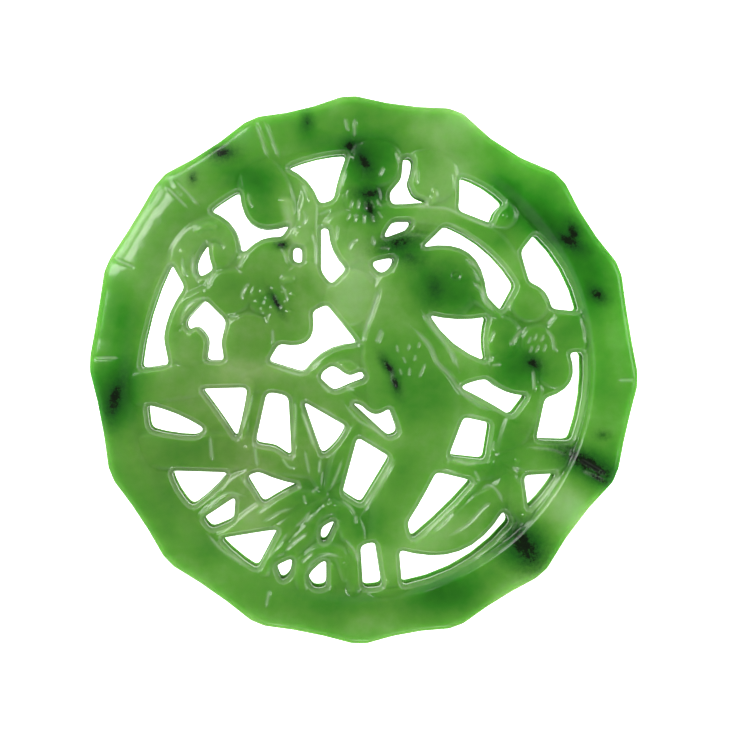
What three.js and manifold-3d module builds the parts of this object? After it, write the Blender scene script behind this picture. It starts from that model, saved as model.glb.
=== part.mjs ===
import * as THREE from "three";
import Module from "manifold-3d";
import { mergeVertices } from "three/addons/utils/BufferGeometryUtils.js";

const wasm = await Module();
wasm.setup();

// Driving sizes in millimetres. The slab lies on its back: z = 0 is the plain back face.
const TIP_DIAMETER = 54; // across opposite bamboo nodes of the rim
const THICKNESS = 4.7; // from the back face to the top of the rim
const GROUND = 4.0; // level of the sunk ground between the carved forms
const EDGE_ROUND = 0.9; // rounding of the rim's outer edges
const RIM_INNER_RADIUS_X = 22.3; // half width of the sunk field inside the rim
const RIM_INNER_RADIUS_Y = 21.7; // half height of the same field
const FIELD_SLOPE = 0.35; // how far the rim's inner wall leans out over its height
const SAW_RADIUS = 0.4; // inside corner that the piercing saw leaves
const GROOVE_WIDTH = 0.5; // an engraved line, seen from above
const GROOVE_DEPTH = 0.28;
const TIP_BLUNT_DEGREES = 1.6; // half the angle over which a node's point is blunted
const CORNER_SHARE = 0.35; // most of a short side that a rounded corner may take
const SLIVER = 0.004; // slivers thinner than this, left where cuts cross, are merged away
const WELD = 1e-5; // corners of a facet closer together than this are one
const CUT_OVERRUN = 1; // how far a cutter runs on past the stone

// How finely curves are faceted
const FINE_STEPS = 12; // fine enough to tell a bowed side's direction at its end
const RIM_STEPS = 3; // between two nodes of the rim
const FIELD_SIDES = 44; // round the sunk field
const DOME_SIDES = 14;
const KNOP_SIDES = 10; // a small dome
const KNOP_RADIUS = 18; // the largest small dome, in grid units
const LIMB_STEPS = 1.35; // cross-sections for each point of a limb

// Tops of the carved forms, each by how far it stands up from the ground
const BIRD_TOP = GROUND + 0.6;
const WING_TOP = GROUND + 0.5;
const PETAL_TOP = GROUND + 0.4;
const BUD_TOP = GROUND + 0.4;
const BRANCH_TOP = GROUND + 0.3;
const CULM_TOP = GROUND + 0.35;
const SCROLL_TOP = GROUND + 0.35;
const LEAF_TOP = GROUND + 0.3;

// The layout is drawn on a grid of 547 units across the rim's nodes, y down, centred as below.
const GRID_TIP_DIAMETER = 547;
const GRID_CENTRE_X = 363.5;
const GRID_CENTRE_Y = 370.5;
const UNIT = TIP_DIAMETER / GRID_TIP_DIAMETER;

// The rim's bamboo nodes, carved by eye: [angle in degrees, reach, dip of the hollow that follows].
const NODES = [
  [-1.7, 275.5, 1], [22, 276.5, 3.5], [44.7, 276.5, 7], [70.6, 276.5, 3], [93.2, 275, 3],
  [114, 275, 3], [136.5, 279, 1], [157.2, 277, 0.5], [178.1, 273, 2], [202, 272, 2],
  [224, 272, 2], [247, 273.5, 2], [269, 273, 3], [290, 272.5, 2], [311.4, 271, 4],
  [337.7, 274.5, 1],
];

// Piercings. A corner is [x, y, bow], where bow swells the side to the next corner outwards.
const PIERCINGS = {
  leftCrescent: [[172, 262, 0], [185, 286, -4], [164, 337, 0], [169, 363, 0], [141, 367, 5]],
  tendrilEye: [[209, 242, 1], [198, 259, 2], [200, 276, 0], [214, 268, -2]],
  tendrilFork: [
    [205, 298, 0], [187, 318, 1], [189, 329, 0], [196, 324, -2], [209, 340, 0], [206, 359, 0],
    [224, 359, 0], [221, 341, 0], [226, 319, 0],
  ],
  underBud: [
    [210, 210, 1], [240, 190, -21], [290, 223, 0], [282, 236, -5.5], [246, 250, 0], [241, 250, -9],
  ],
  topLeft: [[287, 167, 3], [347, 153, -1.5], [334, 197, 1], [319, 202, -6]],
  bottle: [[321, 226, 0], [329, 226, -5], [347, 267, 0], [331, 283, 0], [321, 270, 0]],
  smallOval: [[293, 246, 0], [302, 246, 0], [302, 262, 0], [293, 260, 0]],
  underBlossom: [
    [327, 303, 0], [312, 310, -18], [279, 342, 0], [268, 360, 0], [304, 371, -8.5], [358, 342, 0],
  ],
  wiggle: [
    [334, 364, 0], [347, 374, -1], [361, 369, 0], [366, 377, 0], [352, 382, 0], [334, 390, 0],
    [320, 377, 0], [322, 371, 1],
  ],
  boomerang: [[351, 401, 0], [362, 404, -8], [389, 406, 0], [398, 431, 0], [389, 436, 0]],
  slantedQuad: [[357, 436, 0], [390, 456, 0], [361, 504, 0], [342, 492, 0]],
  stemTriangle: [[303, 400, 0], [346, 425, 3], [322, 454, 0]],
  stemQuad: [[266, 392, 2], [288, 396, 0], [291, 456, 0], [275, 445, 0], [255, 442, 0]],
  branchTriangle: [[201, 387, 0], [247, 386, 1], [236, 437, -1]],
  culmLens: [[147, 403, 3], [204, 427, 0], [197, 434, 2], [150, 427, 0]],
  rimTriangle: [[171, 469, 0], [228, 471, 2], [192, 505, 3]],
  leafLens: [[246, 475, 0], [258, 470, -2], [299, 483, -1], [263, 503, 0]],
  leafQuad: [[235, 495, 0], [233, 519, 0], [211, 528, 0], [202, 517, 0]],
  lowerTriangle: [[220, 537, 0], [278, 528, 0], [257, 568, 2]],
  ringEye: [[275, 565, 0], [292, 557, 0], [290, 574, 0], [281, 581, 0]],
  teardrop: [[326, 559, 0], [326, 587, 0], [313, 588, 0], [307, 577, 2]],
  smallLens: [[336, 520, 0], [328, 537, 1], [321, 541, 0], [320, 529, 2]],
  footSlot: [[360, 545, 0], [375, 541, 0], [382, 586, 0], [363, 588, 0]],
  leafGap: [[436, 471, 0], [473, 480, 2], [412, 539, 0], [407, 522, -1]],
  bottomCrescent: [[504, 510, 0], [511, 521, 12], [402, 585, 0], [399, 549, -23]],
  rightTriangle: [[525, 475, 0], [558, 473, 2], [529, 509, 0]],
  rightTall: [[570, 351, 0], [584, 351, 5], [572, 440, 0], [537, 439, 0], [546, 397, -15]],
  tailLens: [[460, 386, 2], [488, 378, -5], [528, 394, 0], [512, 415, -1]],
  stalkQuad: [[464, 416, 0], [491, 422, 0], [485, 459, 0], [449, 455, 0]],
  breastTriangle: [[429, 313, -4], [488, 315, -4], [487, 360, 7]],
  headCrescent: [[422, 246, 0], [445, 224, 8], [516, 284, 0], [502, 310, 0], [487, 295, -24]],
  upperRight: [[521, 250, 0], [535, 232, 7], [580, 310, 0], [552, 307, -6], [530, 281, 0]],
  budQuad: [[459, 175, 4], [505, 203, -4], [492, 222, 0], [458, 209, -1]],
  keyhole: [
    [403, 156, 0], [412, 157, 2], [407, 181, 0], [413, 195, 0], [428, 201, 0], [391, 203, 0],
    [389, 192, 0], [401, 178, 0],
  ],
  crestSlot: [[383, 237, 1], [393, 220, 0], [412, 219, 0], [407, 228, 0]],
  crestOval: [[371, 261, 1], [395, 256, 0], [390, 267, 0], [381, 272, 1]],
};

// Blossoms. A petal is [angle, reach, radius], with angle in degrees and the rest in grid units.
const BLOSSOMS = [
  {
    centre: [266, 295],
    heart: 20,
    petals: [[94, 31, 27], [174, 38, 24], [247, 48, 28], [312, 36, 25], [15, 38, 24]],
  },
  {
    centre: [538, 342],
    heart: 20,
    petals: [[101, 42, 20], [18, 32, 22], [306, 31, 20], [228, 37, 26], [170, 38, 20]],
  },
  {
    centre: [362, 196],
    heart: 24,
    petals: [[70, 38, 25], [130, 30, 17], [248, 44, 26], [284, 42, 25]],
  },
];

// Rounded buds and knops: [x, y, radius].
const BUDS = [
  [268, 203, 27], [190, 342, 21], [430, 174, 27], [502, 213, 14], [214, 252, 12], [350, 296, 27],
  [346, 372, 13], [302, 236, 10],
];

// Long carved forms. Each point along a form is [x, y, half width].
const BRANCHES = [
  [
    [140, 386, 17], [190, 376, 17], [235, 373, 16], [285, 380, 15], [325, 395, 16], [365, 420, 16],
    [395, 440, 15],
  ],
  [[370, 215, 10], [410, 212, 9], [445, 216, 10], [485, 238, 15], [512, 268, 13], [524, 290, 10]],
  [[310, 200, 9], [305, 222, 11], [308, 250, 10], [306, 275, 9]],
  [[386, 600, 20], [390, 560, 23], [396, 520, 28], [412, 480, 32], [420, 440, 36]],
  [[505, 470, 13], [512, 440, 13], [522, 415, 14], [530, 392, 12]],
  [[440, 465, 7], [475, 470, 10], [505, 462, 12]],
  [[248, 386, 6], [244, 412, 6], [240, 440, 7]],
];
const BIRD_BODY = [
  [418, 258, 18], [400, 285, 24], [396, 318, 32], [400, 350, 37], [412, 386, 42], [420, 430, 38],
];
const WING = [[418, 300, 9], [440, 328, 14], [462, 360, 18], [488, 390, 14], [512, 412, 6]];
const CREST = [[370, 247, 5], [400, 243, 10], [426, 243, 8]];
const HEAD = [441, 281, 39];
const BEAK = [[462, 282, 15], [482, 297, 9], [497, 314, 4]];
const CULM = [[150, 449, 18], [212, 449, 19], [258, 453, 18], [305, 462, 15]];
const TENDRILS = [
  [[176, 270, 9], [181, 250, 12], [196, 234, 12], [216, 228, 12], [230, 242, 10], [222, 258, 9]],
  [[176, 345, 13], [172, 325, 10], [184, 306, 10], [202, 294, 8]],
  [[262, 566, 7], [272, 552, 7], [292, 549, 7], [301, 566, 6]],
  [[304, 592, 6], [300, 566, 7], [318, 551, 7], [338, 556, 8], [348, 574, 10]],
  [[312, 520, 7], [326, 509, 8], [346, 512, 8], [344, 534, 8]],
];
const LEAVES = [
  [[322, 492, 3], [310, 455, 12], [301, 420, 10], [297, 392, 4]],
  [[322, 492, 3], [338, 462, 12], [350, 440, 9], [358, 420, 2]],
  [[324, 492, 3], [290, 501, 13], [255, 520, 13], [222, 534, 3]],
  [[324, 494, 3], [296, 517, 10], [272, 541, 10], [258, 568, 3]],
  [[318, 510, 3], [306, 532, 9], [292, 548, 7], [284, 560, 2]],
  [[246, 470, 3], [236, 483, 10], [222, 500, 9], [206, 512, 3]],
  [[505, 462, 4], [530, 457, 14], [555, 457, 12], [584, 464, 4]],
  [[500, 465, 4], [514, 492, 13], [524, 512, 10], [530, 530, 3]],
  [[504, 480, 5], [484, 511, 21], [450, 536, 19], [404, 546, 4]],
  [[478, 478, 4], [455, 499, 9], [431, 523, 7], [408, 542, 2]],
  [[332, 505, 6], [348, 522, 12], [356, 548, 9], [352, 592, 7]],
];

// Engraved lines: [x, y] to [x, y].
const NODE_LINES = [
  [[255, 122], [269, 159]], [[264, 121], [280, 159]], [[166, 185], [190, 209]], [[175, 179], [201, 206]],
  [[114, 257], [137, 267]], [[94, 356], [121, 356]], [[577, 457], [609, 476]], [[581, 469], [608, 482]],
  [[618, 379], [638, 379]], [[344, 118], [347, 134]], [[354, 116], [355, 138]], [[269, 587], [265, 606]],
];
const VEIN_LINES = [
  [[441, 539], [492, 501]], [[358, 521], [393, 457]], [[262, 520], [294, 505]], [[290, 528], [265, 560]],
  [[330, 490], [342, 458]], [[298, 440], [294, 402]], [[372, 310], [364, 327]],
];
const CULM_LINES = [[[210, 431], [213, 464]], [[255, 434], [258, 468]]];

// A grid place in millimetres, x to the right and y up.
function place(x, y) {
  return new THREE.Vector2((x - GRID_CENTRE_X) * UNIT, (GRID_CENTRE_Y - y) * UNIT);
}

// A closed solid from any three.js geometry whose surface has no gaps.
function solidOf(geometry) {
  const bare = geometry.clone();
  for (const name of Object.keys(bare.attributes)) {
    if (name !== "position") bare.deleteAttribute(name);
  }
  const merged = mergeVertices(bare, WELD);
  return new wasm.Manifold(
    new wasm.Mesh({
      numProp: 3,
      vertProperties: new Float32Array(merged.attributes.position.array),
      triVerts: new Uint32Array(merged.index.array),
    }),
  );
}

// The arc from one corner to the next, as the points between them, leaning to the right by sagitta.
function bowedSide(from, to, sagitta, steps) {
  const along = to.clone().sub(from);
  const right = new THREE.Vector2(along.y, -along.x).normalize();
  const points = [];
  for (let i = 1; i < steps; i += 1) {
    const t = i / steps;
    const lean = 4 * t * (1 - t) * sagitta;
    points.push(from.clone().addScaledVector(along, t).addScaledVector(right, lean));
  }
  return points;
}

// A piercing's outline: counterclockwise corners, bowed sides and corners rounded by the saw.
function piercingOutline(corners) {
  let ring = corners.map(([x, y, bow]) => ({ at: place(x, y), bow: bow * UNIT }));
  if (THREE.ShapeUtils.area(ring.map((corner) => corner.at)) < 0) {
    const bows = ring.map((corner) => corner.bow);
    ring = ring.map((corner, i) => ({ at: corner.at, bow: bows[(i - 1 + ring.length) % ring.length] }));
    ring.reverse();
  }
  return ring.flatMap((corner, i) => {
    const before = ring[(i - 1 + ring.length) % ring.length];
    const after = ring[(i + 1) % ring.length];
    const arriving = bowedSide(before.at, corner.at, before.bow, FINE_STEPS).at(-1);
    const leaving = bowedSide(corner.at, after.at, corner.bow, FINE_STEPS)[0];
    const shorter = Math.min(corner.at.distanceTo(before.at), corner.at.distanceTo(after.at));
    const cut = Math.min(SAW_RADIUS, CORNER_SHARE * shorter);
    const start = corner.at.clone().add(arriving.sub(corner.at).setLength(cut));
    const end = corner.at.clone().add(leaving.sub(corner.at).setLength(cut));
    const rounding = new THREE.QuadraticBezierCurve(start, corner.at, end).getPoints(2);
    const steps = corner.bow ? 3 + Math.round(2 * Math.abs(corner.bow)) : 1;
    const side = bowedSide(corner.at, after.at, corner.bow, steps);
    return [...rounding, ...side.filter((at) => clearOfCorners(at, corner.at, after.at))];
  });
}

// Whether a point of a side keeps well away from the rounded corners at both its ends.
function clearOfCorners(at, from, to) {
  const margin = 1.3 * SAW_RADIUS;
  return Math.min(at.distanceTo(from), at.distanceTo(to)) > margin;
}

// An upright prism over a closed outline.
function prism(outline, bottom, top) {
  const geometry = new THREE.ExtrudeGeometry(new THREE.Shape(outline), {
    depth: top - bottom,
    bevelEnabled: false,
  });
  return solidOf(geometry.translate(0, 0, bottom));
}

// The rim's outline: blunt nodes with a shallow hollow between each two.
function rimOutline() {
  const at = (degrees, reach) => {
    const angle = THREE.MathUtils.degToRad(degrees);
    return new THREE.Vector2(Math.cos(angle), Math.sin(angle)).multiplyScalar(reach * UNIT);
  };
  return NODES.flatMap(([angle, reach, dip], i) => {
    const [nextAngle, nextReach] = NODES[(i + 1) % NODES.length];
    const start = at(angle + TIP_BLUNT_DEGREES, reach);
    const end = at(nextAngle - TIP_BLUNT_DEGREES, nextReach);
    return [start, ...bowedSide(start, end, -dip * UNIT, RIM_STEPS), end];
  });
}

// The round blank with softened edges and the sunk field cut into its front.
function blank() {
  const slab = new THREE.ExtrudeGeometry(new THREE.Shape(rimOutline()), {
    depth: THICKNESS - 2 * EDGE_ROUND,
    bevelThickness: EDGE_ROUND,
    bevelSize: EDGE_ROUND,
    bevelOffset: -EDGE_ROUND,
    bevelSegments: 2,
  });
  slab.translate(0, 0, EDGE_ROUND);
  const depth = THICKNESS - GROUND;
  const cut = depth + CUT_OVERRUN;
  const lean = (FIELD_SLOPE * cut) / depth;
  const field = new THREE.CylinderGeometry(1 + lean / RIM_INNER_RADIUS_X, 1, cut, FIELD_SIDES);
  field.rotateX(Math.PI / 2);
  field.scale(RIM_INNER_RADIUS_X, RIM_INNER_RADIUS_Y, 1);
  field.translate(0, 0, GROUND + cut / 2);
  return solidOf(slab).subtract(solidOf(field));
}

// A form's rounded side, from its foot in the stone up to its crown. Each point is
// [share of the half width, share of the height above the ground].
const FOOT = -0.4;
const SIDE_PROFILE = [[1, FOOT], [0.92, 0.5], [0.55, 0.93]];

// A low dome standing on the ground.
function dome([x, y, radius], top) {
  const profile = [[0, FOOT], ...SIDE_PROFILE, [0, 1]].map(([u, v]) => new THREE.Vector2(u, v));
  const sides = radius > KNOP_RADIUS ? DOME_SIDES : KNOP_SIDES;
  const geometry = new THREE.LatheGeometry(profile, sides);
  geometry.rotateX(Math.PI / 2);
  const centre = place(x, y);
  geometry.scale(radius * UNIT, radius * UNIT, top - GROUND);
  return solidOf(geometry.translate(centre.x, centre.y, GROUND));
}

const LIMB_SECTION = [...SIDE_PROFILE, ...SIDE_PROFILE.map(([u, v]) => [-u, v]).reverse()];

// A rounded form swept along its points, as wide as each of them says.
function limb(stations, top) {
  const route = new THREE.CatmullRomCurve3(
    stations.map(([x, y, halfWidth]) => {
      const at = place(x, y);
      return new THREE.Vector3(at.x, at.y, halfWidth * UNIT);
    }),
  );
  const steps = Math.round((stations.length - 1) * LIMB_STEPS);
  const height = top - GROUND;
  const positions = [];
  const indices = [];
  const sides = LIMB_SECTION.length;
  for (let i = 0; i <= steps; i += 1) {
    const here = route.getPoint(i / steps);
    const tangent = route.getTangent(i / steps);
    const left = new THREE.Vector2(-tangent.y, tangent.x).setLength(here.z);
    for (const [u, v] of LIMB_SECTION) {
      positions.push(here.x + left.x * u, here.y + left.y * u, GROUND + height * v);
    }
  }
  for (let i = 0; i < steps; i += 1) {
    for (let j = 0; j < sides; j += 1) {
      const a = i * sides + j;
      const b = i * sides + ((j + 1) % sides);
      indices.push(a, b, a + sides);
      indices.push(b, b + sides, a + sides);
    }
  }
  const last = steps * sides;
  for (let j = 1; j < sides - 1; j += 1) {
    indices.push(0, j + 1, j);
    indices.push(last, last + j, last + j + 1);
  }
  const geometry = new THREE.BufferGeometry();
  geometry.setAttribute("position", new THREE.Float32BufferAttribute(positions, 3));
  geometry.setIndex(indices);
  return solidOf(geometry);
}

// The cutter of an engraved line: a square bar on its edge, centred on the surface it cuts.
function grooveCutter([from, to], surface) {
  const start = place(...from);
  const end = place(...to);
  const bar = new THREE.CylinderGeometry(1, 1, start.distanceTo(end), 4, 1);
  bar.scale(GROOVE_WIDTH / 2, 1, GROOVE_DEPTH);
  bar.rotateZ(Math.atan2(end.y - start.y, end.x - start.x) - Math.PI / 2);
  bar.translate((start.x + end.x) / 2, (start.y + end.y) / 2, surface);
  return solidOf(bar);
}

// Everything that stands up from the sunk ground.
function carvedForms() {
  const forms = [
    ...BUDS.map((bud) => dome(bud, BUD_TOP)),
    ...BRANCHES.map((stations) => limb(stations, BRANCH_TOP)),
    ...TENDRILS.map((stations) => limb(stations, SCROLL_TOP)),
    ...LEAVES.map((stations) => limb(stations, LEAF_TOP)),
    limb(CULM, CULM_TOP),
    limb(BIRD_BODY, WING_TOP),
    limb(WING, WING_TOP),
    limb(BEAK, WING_TOP),
    limb(CREST, BRANCH_TOP),
    dome(HEAD, BIRD_TOP),
  ];
  for (const { centre, heart, petals } of BLOSSOMS) {
    const [x, y] = centre;
    for (const [degrees, reach, radius] of petals) {
      const angle = THREE.MathUtils.degToRad(degrees);
      const petal = [x + reach * Math.cos(angle), y - reach * Math.sin(angle), radius];
      forms.push(dome(petal, PETAL_TOP));
    }
    forms.push(dome([x, y, heart], PETAL_TOP));
  }
  return forms;
}

// The pendant: the blank with its carved forms, pierced and engraved.
function openworkRoundel() {
  let body = blank();
  for (const form of carvedForms()) body = body.add(form);
  for (const outline of Object.values(PIERCINGS).map(piercingOutline)) {
    body = body.subtract(prism(outline, -CUT_OVERRUN, THICKNESS + CUT_OVERRUN));
  }
  for (const line of NODE_LINES) body = body.subtract(grooveCutter(line, THICKNESS));
  for (const line of VEIN_LINES) body = body.subtract(grooveCutter(line, LEAF_TOP));
  for (const line of CULM_LINES) body = body.subtract(grooveCutter(line, CULM_TOP));
  return body.simplify(SLIVER);
}

// A mesh from a solid, centred over its own footprint.
function meshOf(solid, name, material) {
  const { vertProperties, triVerts } = solid.getMesh();
  const geometry = new THREE.BufferGeometry();
  geometry.setAttribute("position", new THREE.Float32BufferAttribute(vertProperties, 3));
  geometry.setIndex(new THREE.Uint32BufferAttribute(triVerts, 1));
  geometry.computeBoundingBox();
  const middle = geometry.boundingBox.getCenter(new THREE.Vector3());
  geometry.translate(-middle.x, -middle.y, -geometry.boundingBox.min.z);
  geometry.computeVertexNormals();
  const mesh = new THREE.Mesh(geometry, material);
  mesh.name = name;
  return mesh;
}

const jade = new THREE.MeshStandardMaterial({ color: 0x4f9636, roughness: 0.15, metalness: 0 });

const pendant = new THREE.Group();
pendant.add(meshOf(openworkRoundel(), "openwork_roundel", jade));

export default pendant;
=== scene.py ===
# %% [markdown]
# An openwork roundel of green jade. The real one is sawn from a single slab, pierced right through
# with a thin wire saw, carved in low relief and polished until it shines like wet glass. It could be
# modelled by sculpting a disc, but a carver works from a drawing: outline first, then levels, then
# fine strokes. This scene does the same, so that each step can be read and changed by itself.
#
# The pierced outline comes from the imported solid. The relief is a map of heights over that outline,
# and one closed mesh is spread over both.

import math

import bpy
import numpy as np
from mathutils import Matrix, Vector
from mathutils.geometry import delaunay_2d_cdt
from mathutils.kdtree import KDTree


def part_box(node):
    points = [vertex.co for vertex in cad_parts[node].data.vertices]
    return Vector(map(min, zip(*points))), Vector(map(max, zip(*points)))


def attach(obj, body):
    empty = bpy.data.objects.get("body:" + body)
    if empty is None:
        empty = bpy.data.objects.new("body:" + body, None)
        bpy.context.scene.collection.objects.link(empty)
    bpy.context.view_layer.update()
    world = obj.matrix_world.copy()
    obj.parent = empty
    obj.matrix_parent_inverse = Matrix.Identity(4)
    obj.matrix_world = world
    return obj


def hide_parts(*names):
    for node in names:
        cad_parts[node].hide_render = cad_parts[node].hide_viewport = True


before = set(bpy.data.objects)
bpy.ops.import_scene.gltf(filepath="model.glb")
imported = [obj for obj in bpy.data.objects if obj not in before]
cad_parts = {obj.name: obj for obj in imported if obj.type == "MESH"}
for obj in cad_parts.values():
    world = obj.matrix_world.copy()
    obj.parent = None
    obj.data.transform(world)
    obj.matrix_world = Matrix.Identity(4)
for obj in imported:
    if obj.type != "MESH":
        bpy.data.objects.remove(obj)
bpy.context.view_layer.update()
NODE = "openwork_roundel"
MM = 0.001

# %% [markdown]
# The drawing is laid out on the same grid as the carver's pattern: units of about a tenth of a
# millimetre, with y running down. One function turns a place on the pattern into millimetres, so
# every form below can be read beside a picture of the piece.

# %% The pattern's grid
GRID_ACROSS = 548.5  # the piece's width on the pattern
GRID_MIDDLE = np.array([364.7, 369.8])
low_corner, high_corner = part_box(NODE)
UNIT = (high_corner.x - low_corner.x) / MM / GRID_ACROSS
TOP = high_corner.z / MM


def place(points):
    """Pattern units, y down, to millimetres, y up."""
    points = np.asarray(points, float)
    return (points[..., :2] - GRID_MIDDLE) * [UNIT, -UNIT]


print(f"one unit of the pattern is {UNIT:.4f} mm, and the rim's top is at {TOP:.2f} mm")

# %% [markdown]
# The saw leaves walls that stand straight up, so one level cut through the solid gives every
# outline at once: the rim and all the piercings. Each triangle that the level crosses gives a short
# line, and the lines are chained end to end.

# %% Outlines of the pierced slab
SECTION_HEIGHT = 1.5  # mm, between the rounded edges
SAW_EASE = 0.14  # mm, how far polishing rounds a sawn corner
RIM_EASE = 0.16  # mm, and a corner of the rim
FINE = 0.05  # mm between points while an outline is smoothed
EDGE_SPACING = 0.18  # mm between points of the finished outlines
FEWEST = 8  # points on the smallest outline


def triangles_of(mesh):
    """The mesh's triangles, in millimetres."""
    co = np.empty(len(mesh.vertices) * 3)
    mesh.vertices.foreach_get("co", co)
    mesh.calc_loop_triangles()
    corners = np.empty(len(mesh.loop_triangles) * 3, np.int64)
    mesh.loop_triangles.foreach_get("vertices", corners)
    return co.reshape(-1, 3)[corners].reshape(-1, 3, 3) / MM


def section(triangles, height):
    """The closed outlines where a level plane cuts the triangles."""
    following = {}
    above = triangles[:, :, 2] > height
    for corners in triangles[above.any(1) & ~above.all(1)]:
        ends = {}
        for a, b in ((0, 1), (1, 2), (2, 0)):
            p, q = corners[a], corners[b]
            if (p[2] > height) != (q[2] > height):
                high, low = (p, q) if p[2] > q[2] else (q, p)
                share = (height - low[2]) / (high[2] - low[2])
                point = low + (high - low) * share
                ends[bool(p[2] > height)] = (round(point[0], 4), round(point[1], 4))
        following[ends[True]] = ends[False]
    outlines = []
    while following:
        start, at = following.popitem()
        outline = [start]
        while at != start:
            outline.append(at)
            at = following.pop(at)
        outlines.append(np.array(outline))
    return sorted(outlines, key=lambda o: -abs(signed_area(o)))


def signed_area(outline):
    """The area inside the outline, above nought where it runs anticlockwise."""
    x, y = outline.T
    return 0.5 * np.sum(x * np.roll(y, -1) - y * np.roll(x, -1))


def evenly(outline, spacing):
    """The closed outline with its points spread evenly."""
    closed = np.vstack([outline, outline[:1]])
    length = np.concatenate([[0], np.cumsum(np.hypot(*np.diff(closed, axis=0).T))])
    count = max(FEWEST, round(length[-1] / spacing))
    at = np.arange(count) * length[-1] / count
    return np.stack([np.interp(at, length, closed[:, i]) for i in (0, 1)], 1)


def eased(outline, reach):
    """The closed outline with its corners rounded over about reach."""
    fine = evenly(outline, FINE)
    waves = np.fft.fft(fine[:, 0] + 1j * fine[:, 1])
    turns = np.fft.fftfreq(len(fine)) * 2 * math.pi
    smooth = np.fft.ifft(waves * np.exp(-0.5 * (turns * reach / FINE) ** 2))
    return np.stack([smooth.real, smooth.imag], 1)


raw = section(triangles_of(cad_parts[NODE].data), SECTION_HEIGHT)
rim_fine = eased(raw[0], RIM_EASE)
piercings_fine = [eased(outline, SAW_EASE) for outline in raw[1:]]
outlines = [evenly(outline, EDGE_SPACING) for outline in [rim_fine, *piercings_fine]]
print(f"{len(piercings_fine)} piercings, and {sum(map(len, outlines))} points on the outlines")

# %% [markdown]
# Relief is a level for every place on the slab, so a plain array of heights holds it. Each carved
# form is laid on the array where it stands higher than what is there, as a carver leaves the
# highest form standing. Two simple forms carry nearly everything: a dome, and a limb that is swept
# along a curve with a width at each point.

# %% An empty map of heights
CELL = 0.06  # mm
REACH = 27.6  # mm, a little more than the piece's radius
GROUND = 4.1  # mm, the sunk ground between the forms
SHOULDER = 0.6  # mm, the width of a form's rounded side
GROOVE = 0.05  # mm, the depth of the line round each form
GROOVE_REACH = 0.2  # mm, half its width
THINNEST = 0.02  # mm, the least half width of a limb
TIP = 0.25  # the width of a stroke's tip, as a share of the stroke's
TAPERS = 6  # a stroke tapers over this part of its length at each end: six is a sixth
axis = np.arange(-REACH, REACH, CELL)
across, upward = np.meshgrid(axis, axis)
height = np.full(across.shape, GROUND)
frost = np.zeros(across.shape)  # where the wheel has left the stone matt
print(f"a map of {len(axis)} by {len(axis)} cells")


# %% Ways to work on the map
def window(points, margin):
    """The part of the map round some points: its slices, and the place of each cell."""
    low = np.clip(((points.min(0) - margin + REACH) / CELL).astype(int), 0, len(axis))
    high = np.clip(((points.max(0) + margin + REACH) / CELL).astype(int) + 2, 0, len(axis))
    part = slice(low[1], high[1]), slice(low[0], high[0])
    return part, np.stack([across[part], upward[part]], -1)


def spline(stations, parts=6):
    """A smooth curve through the stations, each with as many columns as it likes."""
    stations = np.asarray(stations, float)
    padded = np.vstack([2 * stations[0] - stations[1], stations, 2 * stations[-1] - stations[-2]])
    t = (np.arange(parts) / parts)[:, None]
    pieces = []
    for a, b, c, d in zip(padded, padded[1:], padded[2:], padded[3:]):
        bend = (2 * a - 5 * b + 4 * c - d) * t**2 + (3 * b - a - 3 * c + d) * t**3
        pieces.append(b + 0.5 * ((c - a) * t + bend))
    return np.vstack([*pieces, stations[-1:]])


def nearest(cells, path):
    """For each cell: its distance to the path, and how far along the path that is, in points."""
    distance = np.full(cells.shape[:2], np.inf)
    along = np.zeros(cells.shape[:2])
    for i, (a, b) in enumerate(zip(path, path[1:])):
        step = b - a
        t = np.clip((cells - a) @ step / max(step @ step, 1e-9), 0, 1)
        here = np.hypot(*np.moveaxis(cells - a - t[..., None] * step, -1, 0))
        closer = here < distance
        distance[closer] = here[closer]
        along[closer] = i + t[closer]
    return distance, along


def lay(part, inward, top, crown, groove, shoulder):
    """A form with a level top, a round shoulder and a fine groove along its border."""
    share = np.clip(inward / shoulder, 0, 1)
    raised = GROUND + (top + crown - GROUND) * share * (2 - share)
    height[part] = np.where(inward > 0, np.maximum(height[part], raised), height[part])
    share = np.clip(np.abs(inward) / GROOVE_REACH, 0, 1)
    height[part] -= groove * (1 - share**2) ** 2


def limb(stations, top, crown=0.1, groove=GROOVE, shoulder=SHOULDER):
    """A form along [x, y, half width] stations."""
    path = spline(stations)
    line = place(path)
    half = path[:, 2] * UNIT
    part, cells = window(line, half.max() + GROOVE_REACH)
    distance, along = nearest(cells, line)
    width = np.maximum(np.interp(along, np.arange(len(half)), half), THINNEST)
    round_top = crown * (1 - np.clip(distance / width, 0, 1) ** 2)
    lay(part, width - distance, top, round_top, groove, shoulder)


def dome(x, y, radius, top, crown=0.1, groove=GROOVE, shoulder=SHOULDER):
    """A round form."""
    centre = place([x, y])
    part, cells = window(centre[None], radius * UNIT + GROOVE_REACH)
    distance = np.hypot(*np.moveaxis(cells - centre, -1, 0))
    share = np.clip(distance / (radius * UNIT), 0, 1)
    lay(part, radius * UNIT - distance, top, crown * (1 - share**2), groove, shoulder)


def stroke(points, width, depth):
    """A line cut into what is there, or raised where depth is below nought. Tapers at its ends."""
    line = place(spline(points) if len(points) > 2 else points)
    reach = width * UNIT / 2
    part, cells = window(line, reach)
    distance, along = nearest(cells, line)
    ends = np.minimum(along, len(line) - 1 - along) / (len(line) - 1)
    taper = np.clip(ends * TAPERS, TIP, 1)
    share = np.clip(distance / (reach * taper), 0, 1)
    height[part] -= depth * taper * (1 - share**2) ** 2
    if depth > 0:
        frost[part] = np.maximum(frost[part], taper * (1 - share**2) ** 2)


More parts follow.
